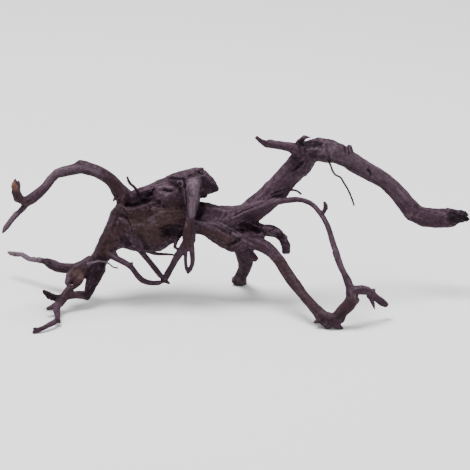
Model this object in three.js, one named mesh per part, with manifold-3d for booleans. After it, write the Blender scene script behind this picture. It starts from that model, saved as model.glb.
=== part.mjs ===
// A dark spiderwood root: one grown piece of hardwood with a knotted crown, standing on three low points.
// Millimetres, +Z up, +X along the longest way, origin at the bottom centre of the box round the root.
import * as THREE from "three";
import { mergeVertices } from "three/addons/utils/BufferGeometryUtils.js";
import Module from "manifold-3d";

// The root is laid out as it is seen by an eye in front of it and a little above it. A place is given as
// [across, up, back]: across from the left tip and up from the level of the feet, both on the picture plane
// through the crown, and back from that plane. A fourth number is the radius of the wood there.
const EYE_TILT = THREE.MathUtils.degToRad(20);
const EYE_DISTANCE = 3000;
const PICTURE_CENTRE = { across: 234.4, up: 65.4, height: 66.7 };

// Driving dimensions
const HAIR_RADIUS = 0.75; // the thinnest rootlets that still hang on the wood
const SIDES = { least: 3.9, perRadius: 0.42 }; // round a limb
const SPACING = { least: 5, perRadius: 0.56 }; // between the rings along it
const GIRTH_TENSION = 0.4; // how tightly a limb's radius follows the radii given along it
const RELIEF = { depth: 0.09, oval: 0.6, swell: 0.5, swellLength: 2.3 }; // depth and length per radius
const LOBES = { across: 3.1, back: 4.3, up: 2.7 }; // how closely the lobes of a swelling follow each other
const ROWS_PER_FACET = 0.62; // rows of facets in a swelling for each facet round it
const FLOOR_BLOCK = { wide: 800, deep: 600, high: 20 }; // takes the feet off level
const WELD = 1e-4;

const wasm = await Module();
wasm.setup();

// The point at a given depth on the sight line through a place on the picture plane.
function seen([across, up, back]) {
  const rise = up - PICTURE_CENTRE.up;
  const side = across - PICTURE_CENTRE.across;
  const eye = new THREE.Vector3(0, -Math.cos(EYE_TILT), Math.sin(EYE_TILT)).multiplyScalar(EYE_DISTANCE);
  const onPlane = new THREE.Vector3(side, Math.sin(EYE_TILT) * rise, Math.cos(EYE_TILT) * rise);
  const reach = (back - eye.y) / (onPlane.y - eye.y);
  const point = eye.lerp(onPlane, reach);
  point.z += PICTURE_CENTRE.height;
  return point;
}

// A closed three.js geometry as a solid that can be joined and cut.
function solid(geometry) {
  geometry.deleteAttribute("normal");
  geometry.deleteAttribute("uv");
  const merged = mergeVertices(geometry, WELD);
  return new wasm.Manifold(
    new wasm.Mesh({
      numProp: 3,
      vertProperties: new Float32Array(merged.attributes.position.array),
      triVerts: new Uint32Array(merged.index.array),
    }),
  );
}

function join(pieces) {
  return pieces.reduce((whole, piece) => whole.add(piece));
}

// How much wider a many-sided section is than a round one of the same area
function fullness(sides) {
  const step = (2 * Math.PI) / sides;
  return Math.sqrt(step / Math.sin(step));
}

// How far a limb's skin stands in or out, as a share of its radius, at an angle and a place along it.
function relief(angle, along, radius, { flutes, twist, phase }) {
  const turn = (twist * along) / radius;
  const flute = Math.cos(flutes * (angle + turn) + phase);
  const oval = Math.cos(2 * (angle - turn / 2) + 2 * phase);
  const swell = Math.sin(along / (RELIEF.swellLength * radius) + 3 * phase);
  return RELIEF.depth * (flute + RELIEF.oval * oval + RELIEF.swell * swell);
}

// A limb: a closed cylinder bent along a smooth route, fluted and swollen, with a rounded end.
function limb(route, { flutes = 3, twist = 0.12, phase = 0, blunt = 0.45 } = {}) {
  const radii = route.map((place) => place[3]);
  const mean = radii.reduce((sum, radius) => sum + radius) / radii.length;
  const sides = Math.round(SIDES.least + SIDES.perRadius * Math.max(...radii));
  const curve = new THREE.CatmullRomCurve3(route.map(seen), false, "centripetal");
  const steps = radii.map((radius, i) => new THREE.Vector3(radius, i, 0));
  const girth = new THREE.CatmullRomCurve3(steps, false, "catmullrom", GIRTH_TENSION);
  const length = curve.getLength();
  const rings = Math.max(3, Math.round(length / (SPACING.least + SPACING.perRadius * mean)));
  const frames = curve.computeFrenetFrames(rings, false);
  const geometry = new THREE.CylinderGeometry(1, 1, 1, sides, rings);
  const position = geometry.getAttribute("position");
  for (let i = 0; i < position.count; i++) {
    const ring = Math.round((position.getY(i) + 0.5) * rings);
    const share = ring / rings;
    const radius = girth.getPoint(curve.getUtoTmapping(share)).x;
    const angle = Math.atan2(position.getZ(i), position.getX(i));
    const rim = share === 1 ? blunt : 1;
    const skin = 1 + relief(angle, share * length, radius, { flutes, twist, phase });
    const reach = radius * fullness(sides) * rim * skin;
    const across = frames.normals[ring].clone().multiplyScalar(position.getX(i) * reach);
    const beside = frames.binormals[ring].clone().multiplyScalar(-position.getZ(i) * reach);
    const point = curve.getPointAt(share).add(across).add(beside);
    position.setXYZ(i, point.x, point.y, point.z);
  }
  return solid(geometry);
}

function twig(route, options = {}) {
  return limb(route, { flutes: 2, ...options });
}

// A rootlet as thin as string, given by places without a radius.
function hair(route, radius = HAIR_RADIUS) {
  return limb(route.map((place) => [...place, radius]), { flutes: 2, blunt: 0.6 });
}

// A swollen mass of wood: half sizes are across, back and up, and lean turns it in the picture plane.
function swelling(place, [wide, deep, high], { lean = 0, phase = 0, facets = 16, roughness = 0.05 } = {}) {
  const geometry = new THREE.SphereGeometry(1, facets, Math.round(facets * ROWS_PER_FACET));
  const position = geometry.getAttribute("position");
  for (let i = 0; i < position.count; i++) {
    const point = new THREE.Vector3().fromBufferAttribute(position, i);
    const leftRight = Math.sin(LOBES.across * point.x + phase) * Math.cos(LOBES.up * point.z - phase);
    const frontBack = Math.sin(LOBES.back * point.y + 2 * phase);
    point.multiplyScalar(1 + roughness * (leftRight + frontBack));
    position.setXYZ(i, point.x * wide, point.y * deep, point.z * high);
  }
  geometry.rotateY(lean);
  const centre = seen(place);
  geometry.translate(centre.x, centre.y, centre.z);
  return solid(geometry);
}

// A cut with the shape of a swelling, for rot holes and hollows.
function hollow(place, halfSizes, lean = 0) {
  return swelling(place, halfSizes, { lean, facets: 8, roughness: 0.08 });
}

// The crown, where every limb meets: a fat belly between the neck and the trunk
function belly() {
  const core = [
    [101, 46, -6, 9], [110, 60, -4, 11], [126, 70, -3, 18], [146, 76, -3, 23.5], [165, 79, -3, 22.5],
    [184, 84, -2, 18], [200, 84, 0, 13],
  ];
  const backStrand = [
    [206, 106, 2, 4], [192, 108, 9, 8.5], [174, 98, 15, 11], [152, 84, 16, 12], [128, 70, 10, 10],
    [108, 55, 2, 7],
  ];
  const lowBackStrand = [
    [117, 104, 0, 4], [129, 100, 7, 7], [148, 92, 14, 9], [174, 80, 15, 9.5], [204, 74, 8, 8.5],
    [230, 70, 0, 6],
  ];
  const lip = [
    [117, 95, -6, 3.6], [124, 90, -15, 4.4], [134, 88, -19, 4.6], [146, 92.4, -21, 4.4],
    [157, 98, -20, 3.6],
  ];
  const upperFold = [[118, 80, -15, 5], [134, 73, -23, 5.6], [150, 70, -25, 5.6], [164, 75, -23, 5]];
  const lowerFold = [
    [114, 62, -12, 5], [128, 56, -16, 5.4], [142, 54, -17, 5], [156, 53.5, -14, 5], [170, 61, -11, 4.4],
    [180, 66, -10, 3.4],
  ];
  return [
    limb(core, { flutes: 5, phase: 0.5 }),
    limb(backStrand, { phase: 1.2 }),
    limb(lowBackStrand, { phase: 2.3 }),
    swelling([168, 104, -1], [23, 16, 17], { lean: -0.3, phase: 1.3 }),
    swelling([140, 62, -5], [25, 17, 13], { lean: 0.1, phase: 3.1 }),
    twig(lip),
    twig(upperFold),
    twig(lowerFold),
  ];
}

// The hood of old wood over the belly, with a sharp ridge on top and a curled lip round the hole in it
function hood() {
  const strand = [
    [124, 94, 4, 9], [137, 101.5, 5, 10], [152, 106.5, 4, 10.4], [168, 113.5, 3, 10.6],
    [184, 118.5, 2, 12], [198, 120, 2, 12.4], [206, 115.4, 2, 10], [213, 113, 3, 8], [218.4, 111.5, 3, 5],
  ];
  const ridge = [[172, 120.5, 0, 4], [184, 125, -1, 4.2], [195, 129.6, -1, 3.6], [203.4, 132, -1, 2.6]];
  const backEdge = [[198, 112, 4, 8], [206.6, 106.4, 5, 5.4]];
  const curledLip = [
    [170, 119, -3, 5], [178, 121, -10, 4.6], [184, 115, -15, 4.6], [184, 104, -18, 3.6],
    [180, 96, -19, 2.6],
  ];
  return [limb(strand, { flutes: 4, phase: 0.7 }), twig(ridge), twig(backEdge), twig(curledLip)];
}

// Rot holes, seams and undercuts in the crown, the trunk and its head
function hollows() {
  return [
    hollow([143, 103, -12], [10, 9, 5], -0.25),
    hollow([151, 108, -13], [4, 8, 6], 0.5),
    hollow([167, 110, -20], [4.5, 6, 2.4], 0.3),
    hollow([181, 96, -24], [3.4, 8, 12], -0.1),
    hollow([197, 88, -15], [6, 6, 8], 0.2),
    hollow([171, 67, -26], [10, 6, 6], -0.4),
    hollow([249, 73, -14], [8, 5, 3.4], 0.3),
    hollow([234, 57, -22], [4, 4, 2.6]),
    hollow([297.5, 134, -10], [2.4, 7, 6], 0.7),
    hollow([311, 157, -4], [9, 8, 3], -0.1),
    hollow([348, 150, 4], [4, 4, 3], 0.5),
  ];
}

// The trunk leaves the crown as three strands grown together, and its top strand ends in a long arm
function trunkAndArm() {
  const topStrand = [
    [178, 86, 2, 15], [192, 87, 1, 13.8], [206, 84.5, 0, 13.4], [219, 81.5, 0, 13.8], [231, 81, 0, 13.4],
    [244, 84.5, 1, 12.6], [256, 92.6, 2, 12.2], [267.4, 102.6, 3, 12.6], [278.2, 113.4, 4, 12.8],
    [289, 125.6, 5, 11.8], [299.4, 137, 6, 12.4], [308, 148.6, 8, 12.2], [319, 150.8, 10, 11.6],
    [330.8, 148.8, 12, 11.6], [342.6, 144.6, 14, 10.2], [355, 136.2, 17, 8.3], [370, 127.8, 20, 8],
    [383.5, 119.8, 22, 7.9], [395.7, 109, 23, 8.2], [406.7, 95.3, 23, 8.8], [415, 86.4, 21, 9.5],
    [427, 82.6, 19, 9.5], [440, 82, 16, 9.3], [450, 82.6, 13, 8.7], [457, 83.2, 11, 6.6],
  ];
  const brokenEnd = [
    limb([[446, 79.4, 12, 6.8], [456, 79.6, 11, 5], [463, 81, 10, 2.8]], { blunt: 0.7 }),
    twig([[446, 86, 15, 6], [457, 86.2, 13, 4.2], [465.5, 84.6, 11, 2.6]], { blunt: 0.6 }),
    twig([[448, 83, 12, 6], [459, 82.5, 12, 4.6], [466.5, 81.6, 12, 2.8], [469.5, 80.8, 12, 1.4]]),
  ];
  const headKnots = [
    swelling([301.6, 134, 4], [10, 11, 12], { lean: 0.5, facets: 10, phase: 0.8 }),
    swelling([347.6, 148.2, 14], [6, 8, 6], { lean: 0.2, facets: 8, phase: 1.9 }),
  ];
  return [limb(topStrand, { flutes: 4, phase: 0.3 }), ...brokenEnd, ...headKnots];
}

// The lower strand of the trunk becomes the long front branch, which stands on its swollen toe
function frontBranch() {
  const branch = [
    [184, 79, -8, 10], [196, 75.5, -11, 9], [208, 70.5, -12, 8.8], [221, 63.4, -12, 10.2],
    [234.5, 57, -12, 10.2], [249, 59.5, -13, 7.6], [261, 56, -16, 6.8], [270.4, 48.6, -22, 6.2],
    [279.2, 38.6, -32, 5.9], [286.7, 27.1, -41, 5.6], [294.2, 17.1, -50, 5.4], [301.6, 6.3, -60, 4.8],
    [309.4, -3.1, -69, 4.8], [317.3, -11.4, -76, 5.6], [325.7, -19.2, -82, 7.6], [334, -20.6, -83, 8],
    [339, -13.8, -82, 6.2], [346, -7, -81, 6], [351.4, -0.9, -79, 6.8], [354, 5, -78, 6.4],
    [353, 11, -75, 5],
  ];
  return [
    limb(branch, { phase: 1.2 }),
    twig([[323, -17, -83, 4], [317.5, -20.5, -84, 2.6], [312.5, -22.5, -84, 1]], { phase: 2 }),
    twig([[332, -22, -84, 5], [338, -26, -86, 3], [343, -28.6, -87, 1.2]], { phase: 0.5 }),
  ];
}

// The middle strand leaves as a thin branch that arches over to the same toe, and forks into the end twig
function archingBranch() {
  const arch = [
    [222, 77, -9, 7], [235, 83, -11, 7], [248, 89.5, -10, 6.6], [262, 95, -9, 5.2], [275, 98.6, -10, 4],
    [288, 100.1, -13, 3.1], [296, 101.1, -17, 2.6], [304, 99.7, -21, 2.5], [312, 96, -26, 2.5],
    [318.8, 88.3, -32, 2.6], [324.8, 79.4, -38, 2.8], [329.5, 67.5, -45, 2.7], [332.4, 57, -51, 2.8],
    [335.8, 47.6, -56, 3.2], [338.3, 38, -61, 3], [343.1, 27.9, -66, 2.9], [348, 17, -71, 3.7],
    [351, 7, -75, 6], [352.5, -1, -77, 6.6],
  ];
  const endTwig = [
    [349.5, 5, -76, 5.4], [354, 10, -74, 5], [361.5, 10.4, -71, 5], [367.4, 9.5, -68, 4.4],
    [372.7, 5.4, -65, 3.9], [378, 0.5, -62, 3.7], [383.2, -3, -60, 4], [386.6, -5.2, -58, 3.2],
  ];
  const fork = [
    [320.5, 86, -33, 2.5], [324.2, 90.4, -36, 2.1], [325.3, 94.8, -38, 1.8], [323.6, 98.6, -40, 1.2],
  ];
  return [
    limb(arch, { flutes: 2, phase: 0.9 }),
    limb(endTwig, { flutes: 2, phase: 0.2, blunt: 0.7 }),
    twig(fork),
    twig([[368, 6, -67, 3.2], [371.2, 0.4, -68, 2.3], [373, -4.6, -69, 1.7], [374, -9.4, -70, 0.9]]),
    twig([[370, 8, -65, 3], [375, 11.6, -63, 1.7]]),
  ];
}

// The short curled branch under the trunk, and the stub at the back that the root stands on
function stubs() {
  const curl = [
    [238, 74, 2, 9.5], [250, 73, -1, 7.6], [260, 72, -5, 5.8], [269, 69, -9, 6], [277, 66.6, -12, 4.9],
    [282.3, 61.4, -14, 4], [285.6, 54, -16, 4.4], [285.6, 46.6, -17, 4.4],
  ];
  const underside = [[226, 69, 4, 9.6], [240, 65, 4, 9.4], [252, 62.5, 0, 8], [263, 61.5, -6, 6]];
  const backFoot = [
    [237, 62, 4, 10.4], [242, 53, 8, 10], [244.4, 44, 15, 8.6], [245, 37, 21, 7], [243.1, 30, 28, 6],
    [240.2, 24.3, 34, 6.2], [239.8, 18, 38, 7], [239.8, 12, 41, 7],
  ];
  return [
    limb(curl, { flutes: 2, phase: 0.6, blunt: 0.8 }),
    limb(underside, { phase: 1.9 }),
    twig([[231, 66, -14, 5], [246, 63.5, -14, 5.4], [257, 65, -12, 5], [267, 67.5, -10, 4]]),
    limb(backFoot, { phase: 1.5, blunt: 0.95 }),
    twig([[240, 22.5, 34, 4], [234.6, 22.8, 36, 2.8]]),
    twig([[245, 50.5, 3, 5], [251, 44.8, 2, 4.3], [256.6, 40, 1, 3.6]], { blunt: 0.7 }),
  ];
}

// The horn and the claw on the head of the trunk
function horns() {
  const horn = [
    [303, 143, 6, 9], [297, 149.5, 2, 6.8], [290, 153, -3, 5.2], [283, 154.6, -8, 4.6],
    [275, 155.8, -13, 4.4], [267.5, 156, -17, 3.5], [261, 158.6, -20, 2.5], [255.5, 163.6, -23, 1.5],
  ];
  const claw = [
    [301, 146, 2, 8], [299, 154, -1, 5.6], [300.8, 160, -3, 3.6], [304, 163.4, -4, 2.4],
    [307.5, 164.6, -4, 1.6], [310.5, 163, -3, 0.8],
  ];
  const barb = [[275, 157, -13, 3.2], [270, 159.6, -14, 1.8], [266.5, 161, -15, 0.8]];
  return [limb(horn, { flutes: 2 }), twig(claw), twig(barb)];
}

// The arm over the left side, which ends in a broken stub and a thin downward shoot
function upperLeftArm() {
  const arm = [
    [140, 84, 0, 14], [130, 96, -1, 11.5], [121.8, 105.2, -2, 8.3], [115.6, 113.6, -4, 6.4],
    [109, 121, -6, 6.3], [100, 126.9, -9, 6.3], [90, 130.7, -12, 6.4], [80, 132.6, -15, 6],
    [70, 130.4, -18, 5.2], [60.2, 128.6, -21, 5.3], [53.9, 125.9, -23, 4.9], [49, 119.1, -26, 4.9],
    [44, 112.4, -28, 4.9], [37.1, 106.6, -31, 5.5], [29.8, 101, -34, 5.9], [23.4, 98, -36, 5.8],
    [18.4, 101.6, -37, 5], [16, 107.6, -38, 4.6], [15, 113, -38, 4.6], [15.4, 117.4, -38, 3.4],
  ];
  const shoot = [
    [26, 98, -35, 4.4], [21.6, 91, -37, 3.1], [17, 86.8, -40, 2.7], [11.8, 80.8, -44, 2.6],
    [7.2, 74.8, -48, 2.4], [3.8, 70.2, -51, 2], [1.6, 67, -53, 1.2],
  ];
  return [
    limb(arm, { phase: 2.1 }),
    twig([[13.4, 113, -38, 3.2], [14.2, 118, -38, 2.4], [15, 122, -38, 0.9]]),
    twig([[17.4, 112, -37, 2.8], [17.9, 117, -36.5, 1.8], [17.8, 120.4, -36, 0.8]]),
    twig(shoot),
    twig([[88, 134, -13, 4.4], [80, 137.6, -15, 3.4], [74, 136.5, -16, 2.2]]),
    twig([[66, 128, -20, 3.8], [61, 124.2, -21, 2.4]]),
  ];
}

// The bent neck at the lower left, and the roots that spread from it
function lowerLeftRoots() {
  const neck = [
    [124, 94, 0, 8], [119.5, 84, -1, 10.4], [114, 70, -2, 11], [107, 58, -4, 10], [101.5, 47, -7, 9.4],
    [96.4, 38, -10, 9.2], [91, 30, -13, 6.5],
  ];
  const backRoot = [
    [99, 39, -8, 8], [90, 37.5, -4, 6.6], [82, 35, 1, 5.4], [73, 32, 7, 4.9], [64, 32, 13, 4.9],
    [56, 33.4, 19, 5], [49.6, 36.6, 24, 5.2], [45, 39.2, 27, 4.6],
  ];
  const paleTip = [
    [48, 37.4, 25, 3.8], [42, 39.6, 30, 2.6], [36, 40.7, 35, 2.1], [29.5, 41.2, 41, 2.1],
    [24.6, 44.4, 45, 2.1], [20, 46.5, 49, 2], [14, 45.9, 54, 1.9], [7.5, 48.2, 59, 1.5],
  ];
  const leftLobe = [
    [93, 38, -9, 8], [84, 33.5, -13, 7], [76, 28, -19, 6.6], [69.4, 22, -25, 6.2], [65.4, 15.6, -30, 4.4],
  ];
  const rightLobe = [
    [91, 36, -12, 7], [84, 30, -16, 5.8], [79.5, 23.5, -22, 4.8], [76, 17, -28, 4.8],
    [72.5, 12, -32, 4.4],
  ];
  const darkLeg = [
    [97, 40, -10, 8.4], [96.6, 32, -13, 8.8], [93.4, 24, -18, 7.8], [90.4, 16.4, -22, 6.3],
    [88.2, 9.4, -27, 5], [86.8, 3.4, -31, 4.4], [86, 0, -33, 3.4],
  ];
  const crossRoot = [
    [89, 5, -29, 4.2], [82, 5.4, -32, 3.8], [74, 5.7, -35, 3.4], [66, 4.4, -38, 3.6], [60, 2.4, -38, 3.6],
    [54, 2.6, -36, 3.1], [48, 5.4, -33, 2.8], [43, 9.2, -30, 1.9],
  ];
  const frontRoot = [
    [71, 14.6, -31, 4.4], [66.6, 8.6, -35, 4.2], [62.6, 1.8, -40, 4.6], [58.4, -3.4, -45, 4.2],
    [52, -6.6, -50, 3.1], [46, -8.8, -54, 2],
  ];
  const footShoot = [
    [57.6, -4, -46, 3.8], [56, -10, -58, 3.1], [57, -16.2, -71, 2.9], [55.6, -20.7, -81, 2.7],
    [50, -23.4, -87, 2.4], [44.7, -26.6, -92, 2.3], [38, -29.5, -96, 2.4], [32, -32.4, -98, 2.3],
  ];
  const overRootlet = [
    [86, 36.6, -24], [92, 38, -25.5], [98, 39.2, -25], [104, 38.6, -23.5], [108.6, 36.6, -23],
    [112.5, 33.4, -23.5], [117.5, 32.4, -24],
  ];
  return [
    limb(neck, { phase: 0.4 }),
    limb(backRoot, { phase: 1.4, blunt: 0.8 }),
    twig(paleTip),
    limb(leftLobe),
    limb(rightLobe, { phase: 1 }),
    limb(darkLeg, { phase: 0.8 }),
    twig([[94, 18, -22, 4], [97.6, 15.4, -24, 2.2]]),
    twig(crossRoot),
    twig(frontRoot, { blunt: 0.8 }),
    twig(footShoot, { blunt: 0.7 }),
    twig([[56.5, -17, -72, 2.6], [59.6, -23, -81, 1.3]]),
    twig([[38, -29, -96, 2], [31.8, -28, -97, 1.2]]),
    hair(overRootlet, 0.9),
  ];
}

// The pale root that hangs over the front of the crown, and the loops under it
function hangingRoots() {
  const paleRoot = [
    [192.6, 124, -6, 7.8], [192.4, 116, -15, 8.8], [192.4, 107, -21, 8.8], [192, 98, -25, 7.2],
    [190.5, 89, -28, 4.8], [189.5, 82, -29, 3.8], [189, 75, -29, 5], [188.5, 67, -29, 6.4],
    [188, 59, -28, 6.4], [188.5, 52, -26, 4.6],
  ];
  const rightProng = [
    [190, 56, -27, 3.8], [191.5, 48, -26, 2.7], [192, 40, -24, 2.4], [190.6, 33, -22, 2.1],
    [187, 26.8, -20, 2],
  ];
  const leftProng = [
    [186, 54, -27, 3.2], [185, 47, -26, 1.9], [184.8, 40, -25, 1.8], [185.6, 33, -23, 1.7],
    [187.2, 27, -20, 2],
  ];
  const loopRight = [
    [186, 60, -26, 4.4], [182.5, 52, -24, 4.4], [177.1, 44.7, -20, 4], [172.6, 36.4, -16, 3.2],
    [167.8, 28, -11, 3], [163.8, 20.6, -6, 2.8], [162, 17.8, -5, 2],
  ];
  const loopLeft = [
    [133, 58, -8, 6], [138.4, 52.4, -8, 4.2], [142.6, 46.5, -8, 3.1], [147.2, 41.1, -8, 2.8],
    [152.7, 34, -7, 2.7], [158.6, 26.6, -6, 2.6], [163.5, 19.8, -5, 2.4],
  ];
  const lowRoot = [
    [105, 48, -13, 4.4], [111.5, 44, -18, 2.8], [117.5, 40.2, -22, 2.4], [124.6, 37.4, -24, 2.9],
    [129.8, 34.2, -24, 3.1], [133.7, 29.2, -22, 2.8], [138, 23.6, -20, 2.8], [142.6, 19.5, -17, 2.7],
    [149, 17.6, -14, 2.6], [156, 17.2, -10, 2.6], [163.6, 19.2, -5, 2.4],
  ];
  const upperRootlet = [
    [112, 53, -11, 3], [114.5, 47, -16, 1.6], [117.5, 42.8, -20, 1.6], [123, 40.4, -23, 1.8],
    [128, 38, -24, 2],
  ];
  const ringRootlet = [
    [178, 64, -20, 3.6], [175, 58, -21, 2.1], [174, 53, -21, 1.8], [176, 50.2, -21, 1.7],
    [180, 51.5, -23, 1.7], [184, 52, -25, 1.6],
  ];
  const underRootlet = [
    [142, 53, -9, 3], [149, 48.4, -10, 2.1], [157, 46.4, -11, 1.6], [165, 46.2, -12, 1.3],
    [171, 45.8, -14, 1.2], [176.5, 45, -17, 1.2],
  ];
  return [
    limb(paleRoot, { twist: 0.05, phase: 0.5 }),
    twig(rightProng),
    twig(leftProng),
    twig(loopRight),
    twig(loopLeft),
    twig(lowRoot),
    twig(upperRootlet),
    twig([[130, 35, -24, 2.4], [132, 38.5, -25, 1.2]]),
    twig([[164, 20, -6, 2.4], [169.5, 16.6, -8, 1.1]]),
    twig(ringRootlet),
    twig(underRootlet),
    hair([[139, 106, -1], [134, 113, -5], [129, 117.5, -8], [126.6, 123.5, -10]], 1.3),
    hair([[119, 102, -9], [115.5, 101, -12], [112, 99.3, -13]]),
  ];
}

// Rootlets under the long arm and beside the trunk
function rootlets() {
  const underArm = [
    [326, 143, 6], [330, 135, 0], [332, 129.5, -4], [335, 125.5, -7], [340, 123, -9], [343, 118, -10],
    [347, 111.5, -11], [350, 105, -11], [352, 100, -10], [353.5, 95, -9],
  ];
  return [hair(underArm), hair([[283, 110, -3], [290, 110.4, -6], [296, 109.7, -8], [301, 106, -9]])];
}

// Everything grown together, hollowed, with its feet taken off level
function spiderwoodRoot() {
  const grown = join([
    ...belly(), ...hood(), ...trunkAndArm(), ...frontBranch(), ...archingBranch(), ...stubs(), ...horns(),
    ...upperLeftArm(), ...lowerLeftRoots(), ...hangingRoots(), ...rootlets(),
  ]);
  const { wide, deep, high } = FLOOR_BLOCK;
  const floor = solid(new THREE.BoxGeometry(wide, deep, high).translate(0, 0, -high / 2));
  const wood = hollows().reduce((left, cut) => left.subtract(cut), grown).subtract(floor);
  return wood.decompose().reduce((largest, scrap) => (scrap.volume() > largest.volume() ? scrap : largest));
}

const root = spiderwoodRoot().getMesh();
const shape = new THREE.BufferGeometry();
shape.setAttribute("position", new THREE.BufferAttribute(root.vertProperties, root.numProp));
shape.setIndex(new THREE.BufferAttribute(root.triVerts, 1));
shape.computeBoundingBox();
const middle = shape.boundingBox.getCenter(new THREE.Vector3());
shape.translate(-middle.x, -middle.y, -shape.boundingBox.min.z);
shape.computeVertexNormals();

const darkWood = new THREE.MeshStandardMaterial({ color: 0x4c3a42, roughness: 0.82, metalness: 0 });
const mesh = new THREE.Mesh(shape, darkWood);
mesh.name = "spiderwood_root";

const model = new THREE.Group();
model.add(mesh);

export default model;
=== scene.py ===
import math
import bmesh
import bpy
import numpy as np
from mathutils import Matrix, Vector, kdtree, noise
from mathutils.bvhtree import BVHTree


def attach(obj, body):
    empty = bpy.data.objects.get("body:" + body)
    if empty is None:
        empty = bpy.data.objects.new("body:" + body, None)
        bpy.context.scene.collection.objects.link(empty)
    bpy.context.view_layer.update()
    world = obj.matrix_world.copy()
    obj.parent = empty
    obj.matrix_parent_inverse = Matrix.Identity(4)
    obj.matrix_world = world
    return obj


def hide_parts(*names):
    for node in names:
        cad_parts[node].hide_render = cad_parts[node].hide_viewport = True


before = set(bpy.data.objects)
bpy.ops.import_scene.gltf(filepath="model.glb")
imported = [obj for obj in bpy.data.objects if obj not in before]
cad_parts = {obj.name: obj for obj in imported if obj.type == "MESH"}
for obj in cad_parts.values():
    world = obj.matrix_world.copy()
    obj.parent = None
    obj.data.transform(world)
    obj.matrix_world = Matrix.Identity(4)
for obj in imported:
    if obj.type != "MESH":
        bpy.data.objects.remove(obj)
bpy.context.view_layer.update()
mm = 0.001
print("frame loaded")


# The picture: an eye 20 degrees above the root and three metres in front of it
picture = {
    "tilt": math.radians(20),
    "distance": 3.0,
    "width": 0.470,                                # of the picture at the root, in metres
    "middle": Vector((-1.65, 20.08, 66.7)) * mm,   # the point that the eye looks at
    "across": 234.4,                               # the same point as the limbs are laid out, in mm across
    "up": 65.4,                                    # and in mm up
    "sensor": 36,
    "nearest": 0.05,                               # how near and how far the camera sees
    "farthest": 60,
}


def eyePoint():
    back = Vector((0, -math.cos(picture["tilt"]), math.sin(picture["tilt"])))
    return picture["middle"] + back * picture["distance"]


def makeCamera():
    data = bpy.data.cameras.new("camera")
    data.sensor_width = picture["sensor"]
    data.lens = picture["sensor"] * picture["distance"] / picture["width"]
    data.clip_start = picture["nearest"]
    data.clip_end = picture["farthest"]
    camera = bpy.data.objects.new("camera", data)
    camera.location = eyePoint()
    camera.rotation_euler = (math.pi / 2 - picture["tilt"], 0, 0)
    bpy.context.collection.objects.link(camera)
    bpy.context.scene.camera = camera


# A sight line through a place on the picture, given in mm across and up as the root's limbs are laid out
def sightLine(across, up):
    tilt = picture["tilt"]
    side = (across - picture["across"]) * mm
    rise = (up - picture["up"]) * mm
    onPlane = picture["middle"] + Vector((side, rise * math.sin(tilt), rise * math.cos(tilt)))
    eye = eyePoint()
    return eye, (onPlane - eye).normalized()


studio = {
    "floorSize": 40,
    "floorDrop": 0.0002,         # below the root's feet, in metres
    "floorColour": (0.9, 0.9, 0.9, 1),
    "floorRoughness": 0.9,
    "skyColour": (1, 1, 1, 1),
    "skyStrength": 0.75,
    "keyPower": 92,
    "keySize": 1.3,
    "keyPlace": (-0.5, 0.1, 2.4),
    "rimPower": 14,
    "rimSize": 1.2,
    "rimPlace": (1.3, -0.9, 1.8),
}


def makeFloor():
    bm = bmesh.new()
    bmesh.ops.create_grid(bm, x_segments=2, y_segments=2, size=studio["floorSize"] / 2)
    mesh = bpy.data.meshes.new("floor")
    bm.to_mesh(mesh)
    bm.free()
    floor = bpy.data.objects.new("floor", mesh)
    floor.location.z = -studio["floorDrop"]
    bpy.context.collection.objects.link(floor)
    paper = bpy.data.materials.new("paleFloor")
    paper.use_nodes = True
    shader = paper.node_tree.nodes["Principled BSDF"]
    shader.inputs["Base Color"].default_value = studio["floorColour"]
    shader.inputs["Roughness"].default_value = studio["floorRoughness"]
    mesh.materials.append(paper)


def makeLights():
    for part in ("key", "rim"):
        lamp = bpy.data.lights.new(part, "AREA")
        lamp.shape = "DISK"
        lamp.size = studio[part + "Size"]
        lamp.energy = studio[part + "Power"]
        light = bpy.data.objects.new(part, lamp)
        light.location = studio[part + "Place"]
        aim = picture["middle"] - light.location
        light.rotation_euler = aim.to_track_quat("-Z", "Y").to_euler()
        bpy.context.collection.objects.link(light)
    sky = bpy.data.worlds.new("sky")
    sky.use_nodes = True
    background = sky.node_tree.nodes["Background"]
    background.inputs["Color"].default_value = studio["skyColour"]
    background.inputs["Strength"].default_value = studio["skyStrength"]
    bpy.context.scene.world = sky


makeCamera()
makeFloor()
makeLights()
print("camera, floor and lights made")


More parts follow.
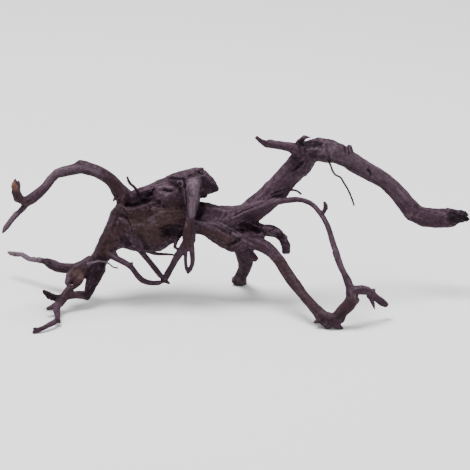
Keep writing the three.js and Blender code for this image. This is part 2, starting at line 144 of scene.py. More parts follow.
# The wood's skin: sizes in mm, and rounds of averaging over neighbouring places
skin = {
    "voxel": 0.62,
    "mostTriangles": 190000,
    "thicknessReach": 80.0,      # the farthest that the wood's thickness is felt for
    "thicknessRounds": 12,
    "smoothRounds": 70,          # on a limb whose radius is fullSmooth or more
    "fullSmooth": 4.5,
    "leastSmooth": 0.9,          # radius of the twigs that keep their facets
    "shareRounds": 10,
    "restoreTimes": 2,           # the thickness lost by smoothing is given back
    "restoreRounds": 26,
    "facingRounds": 10,          # for the way that a limb's side faces as a whole
    "radiusRounds": 60,
    "leastRadius": 0.6,
    "mostRadius": 16,
    "evenRounds": 300,           # where a mark evens the wood out
    "tintRounds": 6,             # on the marks' tints, which softens their edges
    "lump": {"size": 9, "share": 0.06, "finer": 2.3, "finerShare": 0.5},      # share of the limb's radius
    "flute": {"width": 4.6, "length": 34, "height": 0.3, "seed": 0},
    "grain": {"width": 1.3, "length": 12, "height": 0.07, "seed": 7.3},
    "pock": {"size": 2.6, "height": 0.12, "seed": 31.7},
    "crack": {"width": 3.2, "length": 34, "height": 0.3, "seed": 19.1},
    "crackLine": 0.035,          # of the crack pattern's reach, so a crack is a thin line
    "crackLump": 0.5,            # cracks open where the lumps rise to this
    "crackDark": 0.6,
    "splinter": {"width": 2.4, "length": 7.2, "height": 1.3, "seed": 3.1},    # on broken wood
    "fullRelief": 8,             # radius of a limb whose relief is whole, and the least share of it
    "leastRelief": 0.1,
    "fullMark": 3,               # the same for the marks' depth
    "leastMark": 0.2,
    "crestRounds": 14,           # for ridges and hollows against the wood close by
    "levelRounds": 40,           # and against the wood farther round
    "fullCrest": 4,
    "crestLimits": (0.3, 1.4),
    "bareMargin": 2.0,           # the lowest wood stays as it is, where the root stands
}


def copyMerged(node):
    bm = bmesh.new()
    bm.from_mesh(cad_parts[node].data)
    bmesh.ops.remove_doubles(bm, verts=bm.verts, dist=1e-7)
    mesh = bpy.data.meshes.new("rootSkin")
    bm.to_mesh(mesh)
    bm.free()
    piece = bpy.data.objects.new("rootSkin", mesh)
    bpy.context.collection.objects.link(piece)
    return piece


def applyModifier(piece, kind, **settings):
    modifier = piece.modifiers.new(kind, kind)
    for name, value in settings.items():
        setattr(modifier, name, value)
    bpy.context.view_layer.update()
    evaluated = piece.evaluated_get(bpy.context.evaluated_depsgraph_get())
    finished = bpy.data.meshes.new_from_object(evaluated)
    piece.modifiers.clear()
    old = piece.data
    piece.data = finished
    bpy.data.meshes.remove(old)


# Coordinates in mm, edges and triangles of a mesh as arrays
def arraysOf(mesh):
    places = np.empty(len(mesh.vertices) * 3)
    mesh.vertices.foreach_get("co", places)
    edges = np.empty(len(mesh.edges) * 2, int)
    mesh.edges.foreach_get("vertices", edges)
    mesh.calc_loop_triangles()
    triangles = np.empty(len(mesh.loop_triangles) * 3, int)
    mesh.loop_triangles.foreach_get("vertices", triangles)
    return places.reshape(-1, 3) / mm, edges.reshape(-1, 2), triangles.reshape(-1, 3)


def unit(vectors):
    return vectors / np.maximum(np.linalg.norm(vectors, axis=1, keepdims=True), 1e-12)


def along(vectors, normals):
    return np.einsum("ij,ij->i", vectors, normals)


def normalsOf(places, triangles):
    a, b, c = (places[triangles[:, k]] for k in range(3))
    face = np.cross(b - a, c - a)
    total = np.zeros_like(places)
    for axis in range(3):
        for k in range(3):
            total[:, axis] += np.bincount(triangles[:, k], face[:, axis], len(places))
    return unit(total)


# Each value moves towards its neighbours' mean, by a share that may differ from place to place
def spread(values, edges, rounds, share=0.5):
    count = len(values)
    first = np.concatenate([edges[:, 0], edges[:, 1]])
    second = np.concatenate([edges[:, 1], edges[:, 0]])
    degree = np.maximum(np.bincount(first, minlength=count), 1)
    columns = values.reshape(count, -1).astype(float).copy()
    for _ in range(rounds):
        for k in range(columns.shape[1]):
            mean = np.bincount(first, columns[second, k], count) / degree
            columns[:, k] += share * (mean - columns[:, k])
    return columns.reshape(values.shape)


# How thick the wood is under each place, along the inward normal
def thicknessAt(places, normals, triangles):
    tree = BVHTree.FromPolygons(places.tolist(), triangles.tolist())
    reach = skin["thicknessReach"]
    starts = (places - normals * 0.05).tolist()      # just under the surface
    inward = (-normals).tolist()
    found = [tree.ray_cast(start, way, reach)[3] for start, way in zip(starts, inward)]
    return np.array([reach if value is None else value for value in found])


def noiseAt(points):
    return np.fromiter((noise.noise(point) for point in points.tolist()), float, len(points))


def smoothStep(value):
    value = np.clip(value, 0, 1)
    return value * value * (3 - 2 * value)


# Marks that the picture shows: route on it in mm, half width, depth (below nought for a ridge), tints
marks = {
    # A painted highlight on the hood's top rim, painted shade under the overhanging rim and on the hood's
    # shaded right flank
    "hoodPlane": ([(166, 124.5), (176, 127.5), (188, 130.5), (198, 132.5)], 2.4, 0, {"pale": 0.2}),
    "hoodBand": ([(169, 122.6), (177, 122), (184, 121.8)], 1.8, 0.8, {"dark": 0.8}),
    "hoodBandRight": ([(187, 124), (195, 125.8), (202, 128.2)], 2.8, 1, {"dark": 0.85}),
    "hoodFlank": ([(204, 120), (209, 115), (214, 112)], 5.4, 0.4, {"dark": 0.85}),
    "hoodHole": ([(163.6, 110.6), (167, 109.6), (170.4, 109.4)], 1.7, 1.2, {"dark": 1}),
    "holeBrow": ([(159, 113), (164, 114), (170, 112.6)], 1.6, -0.4, {"pale": 0.5}),
    "holeSill": ([(160, 108), (165, 105.6), (170, 106.4)], 1.6, -0.3, {"pale": 0.6}),
    "rosySpotLeft": ([(172.8, 114), (173.4, 113.4)], 1.4, 0, {"pale": 0.8, "fresh": 0.1}),
    "rosySpotRight": ([(176, 111.2), (176.4, 110.4)], 1.5, 0, {"pale": 1, "fresh": 0.1}),
    "swirl": ([(176.5, 117.5), (178, 119.6), (181, 119), (182.4, 116), (181, 113.6), (178, 113.8)], 0.9, -0.5,
              {"pale": 0.4}),
    "swirlEye": ([(179, 116.6), (180, 116)], 1.2, 0.7, {"dark": 0.8}),
    # Painted shade in the narrow slot between the upright root and the burl
    "rootSlot": ([(183.6, 121), (184.2, 114), (184.8, 106), (185.4, 98), (185.8, 91), (186.6, 84)], 1.3, 1,
                 {"dark": 0.9}),
    "rootTop": ([(192, 119), (192.6, 106)], 6.4, 0, {"pale": 0.8}),
    "rootFace": ([(192, 101), (191, 86)], 3.8, 0, {"pale": 0.75}),
    "rootRing": ([(190.6, 105), (192, 106.4), (193.6, 105), (192.2, 103.4), (190.6, 105)], 0.6, 0.2,
                 {"dark": 0.7}),
    "rootFoot": ([(188, 76), (187, 64), (187, 54)], 5, 0, {"brown": 0.8}),
    "rootSpot": ([(184.6, 75.4), (185.6, 74.6)], 1.5, 0, {"pale": 0.9, "fresh": 0.3}),
    "rootShade": ([(201, 112), (200.6, 101), (200, 91), (198, 83)], 4.4, 0.6, {"dark": 0.8}),
    # Painted shade in the recess under the lip, along the ledge's foot and in the arm's pit
    "recess": ([(129, 98), (137, 99.6), (144, 102.6), (150, 106)], 6, 0.7, {"dark": 0.8}),
    "gash": ([(152.6, 111.5), (150, 107), (147, 103)], 1.6, 1.2, {"dark": 1}),
    "ledgeFoot": ([(125, 94.6), (133, 94), (141, 96.6), (149, 100.4)], 2.4, 1, {"dark": 0.9}),
    "armPit": ([(127, 107), (127.6, 99)], 3, 0.3, {"dark": 0.6}),
    "bellyFace": ([(133, 80), (146, 84), (160, 86), (176, 90), (170, 80), (152, 72), (140, 66), (160, 62)],
                  11, 0, {"brown": 1, "even": 1}),
    "shoulder": ([(110, 119), (117, 110), (119, 96), (117, 82)], 7, 0, {"brown": 0.7}),
    "bellyStreak": ([(148, 80), (154, 85.4), (161, 89)], 1.7, 0, {"pale": 0.4}),
    "bellyStreakLow": ([(152, 77), (158, 82)], 1.2, 0, {"pale": 0.35}),
    # Painted shade in the pocket
    "leftPocket": ([(120.6, 61), (125, 60.5), (127.6, 56)], 4, 0.9, {"dark": 0.8}),
    "leftFace": ([(118, 72), (112, 66), (106, 56), (101, 46)], 8, 0, {"brown": 0.9}),
    "lipEnd": ([(153, 98.6), (158, 98)], 2.6, 1.4, {"brown": 0.8}),
    "lipFace": ([(121, 96), (127, 93), (134, 91.6), (143, 94), (151, 97.6)], 2.8, 0,
                {"brown": 1, "dark": 0.2}),
    "lipFoot": ([(115, 89), (120, 86.4), (127, 84), (134, 84)], 5.5, 0, {"even": 1}),
    "lipCheek": ([(126, 83), (121, 78), (119, 71)], 5, 0, {"even": 1}),
    # Painted shade along the burl's crease
    "burlCrease": ([(122, 93), (125.4, 88), (128, 80), (131, 70)], 1.4, 0.6, {"dark": 0.4}),
    "bellyBlotch": ([(139.6, 64), (143, 58), (146, 53)], 3.4, 0.7, {"dark": 0.8}),
    # Painted shade in the belly's hollow and under its brow
    "bellyHollow": ([(164, 68), (170, 68.6), (179, 66)], 6, 1.6, {"dark": 0.85}),
    "hollowBrow": ([(161, 72), (170, 75), (180, 74)], 1.6, 0.8, {"dark": 0.9}),
    # A painted highlight along the trunk's raised ridges, where they catch the light
    "trunkRidge": ([(195, 79), (206, 77.6), (215, 76.6), (222, 73.2), (230, 68.4), (240, 62.5), (252, 55.5)],
                   1.4, -0.6, {"pale": 0.45}),
    "trunkRidgeHigh": ([(217, 78), (226, 73.8), (234, 69.4), (241, 65.4)], 1.2, -0.5, {"pale": 0.4}),
    "trunkFace": ([(203, 69), (214, 66), (224, 61), (232, 56)], 6, 0, {"brown": 0.9, "even": 0.6}),
    # Painted shade in the trunk's pocket, in the fork's pit and below the fork
    "trunkPocket": ([(228, 55), (233, 57.4), (239, 61.4)], 2.2, 0.9, {"dark": 0.75}),
    "forkPit": ([(241, 75.6), (246, 74.8), (251, 71.8), (257, 69)], 3.4, 1.1, {"dark": 0.95}),
    "forkShade": ([(244, 84), (251, 82), (256, 77)], 4, 0, {"dark": 0.55}),
    # A painted highlight along the strand's ridge, and painted shadow lines beside it and along the neck
    "strandRidge": ([(232, 82), (241, 86.4), (250, 90), (262, 94.8), (278, 100)], 1.5, -0.5, {"pale": 0.25}),
    "strandLine": ([(234, 84.8), (243, 89.6), (252, 93)], 0.9, 0.5, {"dark": 0.5}),
    "neckLine": ([(271, 106), (277, 108.4), (284, 111)], 1.1, 0.6, {"dark": 0.65}),
    "neckLineLow": ([(272, 103.6), (281, 106)], 0.9, 0.4, {"dark": 0.55}),
    # Painted shade in the head's groove, in the hollow at the claw's foot and in the sleeve's crease, and a
    # painted highlight along the claw's ridge
    "headGroove": ([(302, 138), (298.6, 134), (295, 131.4), (292, 129.6)], 1.8, 0.9, {"dark": 0.95}),
    "headOval": ([(299, 137), (293, 131)], 5, 0, {"dark": 0.4}),
    "clawFoot": ([(300, 157.4), (306, 157), (313, 156.6), (319, 155.6)], 4.3, 1.5, {"dark": 1}),
    "clawRidge": ([(307, 150.6), (314, 151.4), (320, 152.6), (325, 157)], 1.3, -0.5, {"pale": 0.55}),
    "headShade": ([(313, 148), (313, 142.4), (321, 142.4)], 3.8, 0.3, {"dark": 0.6}),
    "sleeve": ([(325, 156), (326.6, 150), (328, 144)], 2, 0.5, {"dark": 0.5}),
    "knobTop": ([(347, 154.6), (351.6, 152.6)], 2.2, -1.7, {}),
    "knobPitLeft": ([(344, 154), (345, 148)], 0.9, 0.7, {"dark": 0.8}),
    "knobPitMiddle": ([(347.6, 153.6), (348.6, 147)], 0.9, 0.7, {"dark": 0.8}),
    "knobPitRight": ([(351, 152), (351.6, 147.6)], 0.8, 0.6, {"dark": 0.7}),
    "armSpot": ([(367.4, 131), (369.4, 128.6), (370, 125)], 1.4, 0.6, {"dark": 0.85}),
    "scar": ([(407.6, 84.6), (409.4, 84.4)], 2.2, 0, {"pale": 0.7, "fresh": 0.1}),
    "scarDot": ([(411, 83.2), (411.3, 82.8)], 0.9, 0.4, {"dark": 0.9}),
    "brokenPatch": ([(446, 87), (446, 79)], 2, 0, {"pale": 0.5}),
    "brokenEnd": ([(452, 84), (459, 82.6), (469, 81)], 8, 0, {"dark": 0.85, "rugged": 1}),
    "brokenNotch": ([(454, 74.6), (460, 75.4), (465, 76.6)], 3.2, 2.4, {}),
    "brokenTop": ([(459, 88.4), (465, 86.4)], 2.8, -1.8, {}),
    "endStreak": ([(451, 88), (457, 86.6), (463, 86)], 0.8, -0.5, {"pale": 0.9}),
    "endStreakLow": ([(450, 79), (456, 79.6), (462, 80.4)], 0.9, -0.4, {"pale": 0.6}),
    "stubBreak": ([(12.4, 118), (14.4, 112)], 2.4, 0, {"fresh": 0.6, "rugged": 0.4}),
    "stubBase": ([(13, 113), (15, 108), (18, 102), (24, 98)], 4, -1.2, {"brown": 0.6}),
    "shootTip": ([(2.6, 71), (6, 75), (10, 80), (15, 87)], 3, -1.3, {"pale": 0.6}),
    "paleTip": ([(8, 48), (14, 46), (21, 46), (26, 42), (33, 41), (39, 40)], 2.8, -2, {"pale": 1}),
    "paleTipKnob": ([(44, 40), (50, 37)], 3.6, -1, {"dark": 0.9, "rugged": 0.5}),
    "backRoot": ([(55, 35), (64, 32), (74, 32)], 4, 0, {"dark": 0.5}),
    "lobePatch": ([(67, 26), (66, 19)], 2.6, 0, {"pale": 0.7}),
    "rosyLobe": ([(74, 30), (82, 22)], 4, 0, {"pale": 0.3, "fresh": 0.2}),
    "darkLeg": ([(100, 38), (97, 28), (93, 19), (89, 8)], 8, 0, {"dark": 0.8}),
    # Painted shade on the twig that lies behind the others
    "darkCross": ([(43.4, 8.6), (48, 5.6), (53, 2.6), (58, 2)], 3.4, -1.9, {"dark": 1}),
    "branchShade": ([(281, 38), (294, 17), (309, -3), (324, -16), (340, -12), (350, 0)], 8, 0,
                    {"brown": 0.7, "dark": 0.1}),
    "toeShade": ([(322, -18), (332, -20), (341, -14)], 6, 0, {"dark": 0.45}),
    "curlTop": ([(265, 72.6), (273, 72), (279, 68), (284, 62)], 3.4, -2.4, {"rugged": 0.35}),
    "curlPatch": ([(269, 66), (275, 66)], 3, 0, {"pale": 0.6}),
    "loopThorn": ([(324.6, 97), (325.4, 92)], 2.6, -2, {}),
    "stubFoot": ([(235, 22), (241, 18.4), (246, 17)], 3, 0, {"pale": 0.35, "rugged": 0.3}),
    "stubFlare": ([(233, 25), (233, 20)], 3, -1.8, {}),
    "stubWaist": ([(236.4, 38), (237, 32)], 3, 1.2, {}),
    "curlShade": ([(276, 66), (281, 63)], 2.6, 0.4, {"dark": 0.7}),
    # A painted highlight along the left arm's top, which faces up to the light
    "leftArmTop": ([(45, 117), (52, 127), (70, 132), (86, 134), (98, 129)], 4, 0, {"pale": 0.4}),
    "rightArmFace": ([(322, 153), (340, 149), (356, 140), (372, 131), (388, 120), (400, 105)], 7, 0,
                     {"pale": 0.35}),
    "loopFace": ([(300, 101), (316, 92), (325, 79), (332, 57), (343, 28)], 3, 0, {"pale": 0.24}),
    "loopKnot": ([(334, 48), (335, 44)], 3, -1, {"dark": 0.25}),
    "rootsFace": ([(56, 34), (70, 31), (80, 28), (74, 12), (64, 3)], 7, 0, {"brown": 0.7}),
}
tints = ("dark", "pale", "brown", "fresh", "rugged", "even")


# How a mark lies on the wood
markEdge = {
    "step": 0.6,                 # least distance between the points that a route is followed at, in mm
    "reach": 1.6,                # the farthest that a mark is felt, in half widths
    "end": 1.4,                  # where it has faded out
    "ragged": 0.5,               # how far its edge wanders
    "notches": ((2.7, 0.7), (1.1, 0.4)),     # size in mm and share of the coarse and the fine ones
}


# The points where a route on the picture meets the wood
def routeOnWood(tree, route, step):
    points = []
    for (a, b), (c, d) in zip(route, route[1:]):
        count = max(2, int(math.hypot(c - a, d - b) / step))
        for i in range(count + 1):
            start, way = sightLine(a + (c - a) * i / count, b + (d - b) * i / count)
            place = tree.ray_cast(start / mm, way)[0]
            if place is not None:
                points.append(place)
    return points


# The places that a mark reaches, and how far each is from its route
def reachedBy(near, points, reach):
    closest = {}
    for point in points:
        for _, index, distance in near.find_range(point, reach):
            closest[index] = min(distance, closest.get(index, math.inf))
    which = np.fromiter(closest.keys(), int, len(closest))
    return which, np.fromiter(closest.values(), float, len(closest))


# How deep each place is pressed in, and how strong each tint is there
def pressMarks(places, triangles):
    tree = BVHTree.FromPolygons(places.tolist(), triangles.tolist())
    near = kdtree.KDTree(len(places))
    for i, place in enumerate(places.tolist()):
        near.insert(place, i)
    near.balance()
    ragged = sum(share * noiseAt(places / size) for size, share in markEdge["notches"])
    depth = np.zeros(len(places))
    strength = {tint: np.zeros(len(places)) for tint in tints}
    for route, width, deep, amounts in marks.values():
        points = routeOnWood(tree, route, max(markEdge["step"], width / 4))
        which, distance = reachedBy(near, points, width * markEdge["reach"])
        away = distance / width + ragged[which] * markEdge["ragged"]
        shape = smoothStep(markEdge["end"] - away)
        depth[which] += deep * shape
        for tint, amount in amounts.items():
            strength[tint][which] = np.maximum(strength[tint][which], amount * shape)
    return depth, strength


# The places averaged over a wide patch, by the given strength, so that creases in it close up
def evenOut(places, edges, strength):
    inside = strength > 0
    number = np.cumsum(inside) - 1
    local = number[edges[inside[edges].all(axis=1)]]
    flat = spread(places[inside], local, skin["evenRounds"])
    evened = places.copy()
    evened[inside] += strength[inside, None] * (flat - places[inside])
    return evened


# The places with the facets averaged away and the lost thickness given back, and the limbs' radius at each
def withoutFacets(places, edges, triangles):
    normals = normalsOf(places, triangles)
    thick = spread(thicknessAt(places, normals, triangles), edges, skin["thicknessRounds"])
    share = (thick / 2 - skin["leastSmooth"]) / (skin["fullSmooth"] - skin["leastSmooth"])
    share = spread(np.clip(share, 0, 1), edges, skin["shareRounds"])
    smooth = spread(places, edges, skin["smoothRounds"], share / 2)
    for _ in range(skin["restoreTimes"]):
        normals = normalsOf(smooth, triangles)
        lost = along(places - smooth, normals)
        smooth += normals * spread(lost, edges, skin["restoreRounds"])[:, None]
    radius = spread(thick / 2, edges, skin["radiusRounds"])
    return smooth, np.clip(radius, skin["leastRadius"], skin["mostRadius"])


# Which way each place faces from the middle of its limb, as long as the limb's radius
def girthOf(smooth, edges, triangles, radius):
    facing = unit(spread(normalsOf(smooth, triangles), edges, skin["facingRounds"]))
    return facing * radius[:, None]


# A pattern drawn out along the grain
def grained(smooth, girth, pattern):
    return noiseAt(girth / pattern["width"] + smooth / pattern["length"] + pattern["seed"])


# How far each place is raised, in mm, and how open the cracks are there
def reliefOf(smooth, girth, radius, markDepth, strength):
    lump = skin["lump"]
    swell = noiseAt(smooth / lump["size"])
    swell += lump["finerShare"] * noiseAt(smooth / lump["size"] * lump["finer"])
    whole = np.clip(radius / skin["fullRelief"], skin["leastRelief"], 1)
    crack = smoothStep(1 - np.abs(grained(smooth, girth, skin["crack"])) / skin["crackLine"])
    crack *= whole * smoothStep(swell / skin["crackLump"]) * (1 - strength["brown"])
    pock = noiseAt(smooth / skin["pock"]["size"] + skin["pock"]["seed"])
    rise = lump["share"] * radius * swell + whole * skin["pock"]["height"] * pock
    for name in ("flute", "grain"):
        rise += whole * skin[name]["height"] * grained(smooth, girth, skin[name])
    rise -= skin["crack"]["height"] * crack
    rise += skin["splinter"]["height"] * strength["rugged"] * grained(smooth, girth, skin["splinter"])
    rise -= markDepth * np.clip(radius / skin["fullMark"], skin["leastMark"], 1)
    rise *= smoothStep(smooth[:, 2] / skin["bareMargin"])
    return rise, crack


# How far each place stands out from the wood around it: above nought on a ridge, below it in a hollow
def crestOf(final, edges, normals, radius):
    hollow = along(spread(final, edges, skin["crestRounds"]) - final, normals)
    hollow -= spread(hollow, edges, skin["levelRounds"])
    return -hollow * np.clip(radius / skin["fullCrest"], *skin["crestLimits"])


def writeValues(mesh, values):
    for name, value in values.items():
        kind, field = ("FLOAT_VECTOR", "vector") if value.ndim == 2 else ("FLOAT", "value")
        attribute = mesh.attributes.new(name, kind, "POINT")
        attribute.data.foreach_set(field, value.astype(np.float32).ravel())


def makeSkin():
    piece = copyMerged("spiderwood_root")
    applyModifier(piece, "REMESH", mode="VOXEL", voxel_size=skin["voxel"] * mm)
    places, edges, triangles = arraysOf(piece.data)
    print("skin remeshed:", len(places), "places")
    smooth, radius = withoutFacets(places, edges, triangles)
    girth = girthOf(smooth, edges, triangles, radius)
    print("facets smoothed away")
    markDepth, strength = pressMarks(smooth, triangles)
    smooth = evenOut(smooth, edges, strength.pop("even"))
    strength = {tint: spread(amount, edges, skin["tintRounds"]) for tint, amount in strength.items()}
    print("marks pressed in")
    normals = normalsOf(smooth, triangles)
    rise, crack = reliefOf(smooth, girth, radius, markDepth, strength)
    final = smooth + normals * rise[:, None]
    final[:, 2] = np.maximum(final[:, 2], 0)
    strength["dark"] = np.clip(strength["dark"] + skin["crackDark"] * crack, 0, 1)
    values = {"girth": girth, "crest": crestOf(final, edges, normals, radius)}
    values.update((tint, strength[tint]) for tint in ("dark", "pale", "brown", "fresh"))
    piece.data.vertices.foreach_set("co", (final * mm).ravel())
    writeValues(piece.data, values)
    piece.data.update()
    applyModifier(piece, "DECIMATE", ratio=min(1, skin["mostTriangles"] / len(triangles)))
    for polygon in piece.data.polygons:
        polygon.use_smooth = True
    print("skin finished:", len(piece.data.polygons), "faces")
    return piece


# A socket that takes part in sums, so that a pattern reads as one line
class Wire:
    def __init__(self, tree, socket=None):
        self.tree = tree
        self.socket = socket

    # A node of a kind, with its settings and the values or links of its sockets, given by name or number
    def node(self, kind, settings, inputs):
        made = self.tree.nodes.new(kind)
        for name, value in settings.items():
            setattr(made, name, value)
        for key, value in inputs.items():
            if isinstance(value, Wire):
                self.tree.links.new(value.socket, made.inputs[key])
            else:
                made.inputs[key].default_value = value
        return made

    def out(self, kind, settings, inputs, output=0):
        return Wire(self.tree, self.node(kind, settings, inputs).outputs[output])

    def maths(self, operation, first, second, clamp=False):
        return self.out("ShaderNodeMath", {"operation": operation, "use_clamp": clamp}, {0: first, 1: second})

    def __add__(self, other):
        return self.maths("ADD", self, other)

    def __radd__(self, other):
        return self.maths("ADD", other, self)

    def __sub__(self, other):
        return self.maths("SUBTRACT", self, other)

    def __rsub__(self, other):
        return self.maths("SUBTRACT", other, self)

    def __mul__(self, other):
        return self.maths("MULTIPLY", self, other)

    def __rmul__(self, other):
        return self.maths("MULTIPLY", other, self)

    def clipped(self):
        return self.maths("ADD", self, 0, True)

    def between(self, low, high):
        limits = {"Value": self, "From Min": low, "From Max": high}
        return self.out("ShaderNodeMapRange", {"interpolation_type": "SMOOTHSTEP"}, limits)

    # One colour laid over another by this amount
    def mixed(self, under, over):
        colours = [value if isinstance(value, Wire) else (*value, 1) for value in (under, over)]
        return self.out("ShaderNodeMix", {"data_type": "RGBA"}, {0: self, 6: colours[0], 7: colours[1]}, 2)


woodFinish = {
    "plain": (0.0370, 0.0190, 0.0290),
    "duskyShade": (0.0160, 0.0078, 0.0122),   # painted shade, in hollows and on undersides
    "wornAndLit": (0.080, 0.049, 0.070),       # rubbed wood, and painted highlight, on ridges and on tops that face up to the light
    "brown": (0.0290, 0.0138, 0.0132),
    # pale wood in spots, and painted highlight on ridges and tops that catch the light
    "pale": (0.130, 0.092, 0.116),
    "fresh": (0.20, 0.095, 0.055),       # wood where a tip broke off
    "dark": (0.0070, 0.0026, 0.0056),    # in rot holes and cracks, and painted shade in recesses, creases and hollows and on shaded sides, and a painted shadow beside the upright root
    "fibre": (0.9, 13, 3),               # width and length in mm and detail of the patterns along the grain
    "strand": (3.0, 40, 3),
    "blotch": (0.05, 4),                 # scale per mm and detail of the patterns that lie any way
    "mottle": (0.28, 4),
    "speck": (0.9, 2),
    "tones": {"blotch": 0.8, "mottle": 1.1, "speck": 0.9},           # shares, where fibre and strand have 1
    "heights": {"fibre": 0.4, "strand": 0.5, "mottle": 0.7, "speck": 0.3},
    # how much ridges and the tops that face up are lightened: rubbed wood and painted highlight
    "wearAndLight": {"ridges": 1.3, "tops": 0.26, "facing": (-0.2, 0.9), "range": (0.0, 0.7)},
    # how much hollows and the sides that face down are darkened, a painted shade, beside some random darker
    # tone
    "dusk": {"everywhere": 0.3, "hollows": 2.0, "tops": -0.3, "facing": (-1.0, 0.2), "range": (0.02, 0.75)},
    "strayBrown": {"mottle": 0.3, "range": (0.1, 0.4), "strength": 0.35},
    "brownSpared": 0.6,                    # how much of the wear and the painted highlight a brown place is spared
    "tints": {"pale": (0.85, 1.2), "fresh": (0.9, 1), "dark": (1, -0.8)},    # strength and share of the tone
    "roughness": 0.78,
    "fibreRoughness": 0.2,
    "wornPolish": 0.06,
    "specular": 0.12,
    "bump": 0.5,
    "bumpHeight": 0.0006,
}


def makeWood(finish):
    material = bpy.data.materials.new("darkRootWood")
    material.use_nodes = True
    tree = material.node_tree
    shader = tree.nodes["Principled BSDF"]
    start = Wire(tree)

    def attribute(name, output="Fac"):
        return start.out("ShaderNodeAttribute", {"attribute_name": name}, {}, output)

    def vectors(operation, first, second):
        return start.out("ShaderNodeVectorMath", {"operation": operation}, {0: first, 1: second})

    def scaled(vector, factor):
        return vectors("MULTIPLY", vector, (factor, factor, factor))

    # A pattern whose middle value is nought
    def pattern(vector, scale, detail):
        inputs = {"Vector": vector, "Scale": scale, "Detail": detail}
        return start.out("ShaderNodeTexNoise", {}, inputs, "Fac") - 0.5

    place = scaled(start.out("ShaderNodeTexCoord", {}, {}, "Object"), 1 / mm)
    girth = attribute("girth", "Vector")

    def grainPattern(width, length, detail):
        return pattern(vectors("ADD", scaled(girth, 1 / width), scaled(place, 1 / length)), 1, detail)

    fibre = grainPattern(*finish["fibre"])
    strand = grainPattern(*finish["strand"])
    blotch = pattern(place, *finish["blotch"])
    mottle = pattern(place, *finish["mottle"])
    speck = pattern(place, *finish["speck"])
    crest = attribute("crest")
    normal = start.out("ShaderNodeNewGeometry", {}, {}, "Normal")
    upward = start.out("ShaderNodeSeparateXYZ", {}, {0: normal}, "Z")

    # How light the wood is from place to place, where it is rubbed and given a painted highlight, where
    # painted shade darkens it, and where it is brown
    tones = finish["tones"]
    tone = fibre + strand + blotch * tones["blotch"] + mottle * tones["mottle"] + speck * tones["speck"]
    wearAndLight = finish["wearAndLight"]
    # Rubbed wood and painted highlight: ridges, and the tops that face up to the light, are lighter
    wornAndLit = tone + crest * wearAndLight["ridges"] + upward.between(*wearAndLight["facing"]) * wearAndLight["tops"]
    wornAndLit = wornAndLit.between(*wearAndLight["range"])
    dusk = finish["dusk"]
    # Painted shade: hollows and the sides that face down are darker, with some random darker tone
    duskyShade = dusk["everywhere"] - tone - crest * dusk["hollows"]
    duskyShade = (duskyShade + upward.between(*dusk["facing"]) * dusk["tops"]).between(*dusk["range"])
    stray = finish["strayBrown"]
    brown = (blotch + stray["mottle"] * mottle).between(*stray["range"]) * stray["strength"]
    brown = (attribute("brown") + brown).clipped()

    # The colours one over another, and the marks' tints last
    colour = brown.mixed(finish["plain"], finish["brown"])
    colour = (wornAndLit * (1 - brown * finish["brownSpared"])).mixed(colour, finish["wornAndLit"])
    colour = duskyShade.mixed(colour, finish["duskyShade"])
    for tint, (strength, broken) in finish["tints"].items():
        amount = attribute(tint) * (strength + tone * broken)
        colour = amount.clipped().mixed(colour, finish[tint])
    tree.links.new(colour.socket, shader.inputs["Base Color"])

    rough = (finish["roughness"] + fibre * finish["fibreRoughness"] - wornAndLit * finish["wornPolish"]).clipped()
    tree.links.new(rough.socket, shader.inputs["Roughness"])
    shader.inputs["Specular IOR Level"].default_value = finish["specular"]
    heights = finish["heights"]
    height = fibre * heights["fibre"] + strand * heights["strand"] + mottle * heights["mottle"]
    height = height + speck * heights["speck"]
    relief = {"Height": height, "Strength": finish["bump"], "Distance": finish["bumpHeight"]}
    bump = start.node("ShaderNodeBump", {}, relief)
    tree.links.new(bump.outputs["Normal"], shader.inputs["Normal"])
    return material


wood = makeWood(woodFinish)
rootSkin = makeSkin()
rootSkin.data.materials.clear()
rootSkin.data.materials.append(wood)
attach(rootSkin, "root")
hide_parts("spiderwood_root")
print("wood painted")


# Rootlets thin as string, and the horn's tip: places across, up and back, first and last radius, paleness
rootlets = {
    "sides": 7,
    "step": 1.6,                 # between the rings
    "swelling": 0.14,            # share of the radius that it swells and shrinks by
    "swellingSize": 3,
    "routes": {
        "crown": ([(139, 106, -1), (134, 113, -5), (129, 117.5, -8), (126.6, 123.5, -10)], 1.7, 1.15, 0),
        "neck": ([(119.4, 104, -2), (116, 103.6, -8), (113.6, 102, -12), (113, 99, -13)], 1.7, 0.9, 0),
        "leg": ([(86, 36.6, -24), (92, 38, -25.5), (98, 39.2, -25), (104, 38.6, -23.5),
                 (108.6, 36.6, -23), (112.5, 33.4, -23.5), (117.5, 32.4, -24)], 1.1, 0.75, 0.8),
        "arm": ([(326, 143, 6), (330, 135, 0), (332, 129.5, -4), (335, 125.5, -7), (340, 123, -9),
                 (343, 118, -10), (347, 111.5, -11), (350, 105, -11), (352, 100, -10), (353.5, 95, -9)],
                1.1, 0.95, 0),
        "trunk": ([(283, 110, -3), (290, 110.4, -6), (296, 109.7, -8), (301, 106, -9)], 1.3, 1.05, 0),
        "horn": ([(267, 156, -17), (261, 158.8, -20), (258, 161.2, -21.5), (255.8, 163, -23)], 3, 1.9, 0),
    },
}


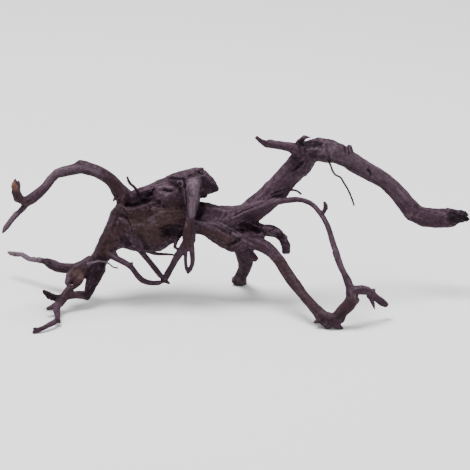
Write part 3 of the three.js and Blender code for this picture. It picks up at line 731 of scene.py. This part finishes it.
# The point that far behind the picture plane on the sight line through a place on the picture
def seen(across, up, back):
    eye, way = sightLine(across, up)
    plane = picture["middle"].y + back * mm
    return eye + way * ((plane - eye.y) / way.y)


# A smooth line through the points, in about equal steps
def smoothLine(points, step):
    ends = [2 * points[0] - points[1]] + points + [2 * points[-1] - points[-2]]
    line = []
    for a, b, c, d in zip(ends, ends[1:], ends[2:], ends[3:]):
        count = max(1, round((c - b).length / step))
        for i in range(count):
            t = i / count
            bend = (2 * a - 5 * b + 4 * c - d) * t ** 2 + (3 * b - a - 3 * c + d) * t ** 3
            line.append((2 * b + (c - a) * t + bend) / 2)
    return line + [points[-1]]


def addRootlet(bm, paleLayer, route, thick, thin, pale):
    line = smoothLine([seen(*point) for point in route], rootlets["step"] * mm)
    last = len(line) - 1
    before = None
    for i, point in enumerate(line):
        way = line[min(i + 1, last)] - line[max(i - 1, 0)]
        turn = Matrix.Translation(point) @ way.to_track_quat("Z", "Y").to_matrix().to_4x4()
        swell = 1 + rootlets["swelling"] * noise.noise(point / mm / rootlets["swellingSize"])
        radius = (thick + (thin - thick) * i / last) * swell * mm
        ring = bmesh.ops.create_circle(bm, cap_ends=i in (0, last), segments=rootlets["sides"],
                                       radius=radius, matrix=turn)
        for vert in ring["verts"]:
            vert[paleLayer] = pale
        edges = list({edge for vert in ring["verts"] for edge in vert.link_edges})
        if before:
            bmesh.ops.bridge_loops(bm, edges=before + edges)
        before = edges


def makeRootlets():
    bm = bmesh.new()
    paleLayer = bm.verts.layers.float.new("pale")
    for route in rootlets["routes"].values():
        addRootlet(bm, paleLayer, *route)
    bmesh.ops.recalc_face_normals(bm, faces=bm.faces)
    for face in bm.faces:
        face.smooth = True
    mesh = bpy.data.meshes.new("rootlets")
    bm.to_mesh(mesh)
    bm.free()
    piece = bpy.data.objects.new("rootlets", mesh)
    bpy.context.collection.objects.link(piece)
    return piece


fineRoots = makeRootlets()
fineRoots.data.materials.append(wood)
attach(fineRoots, "root")
print("rootlets drawn out")
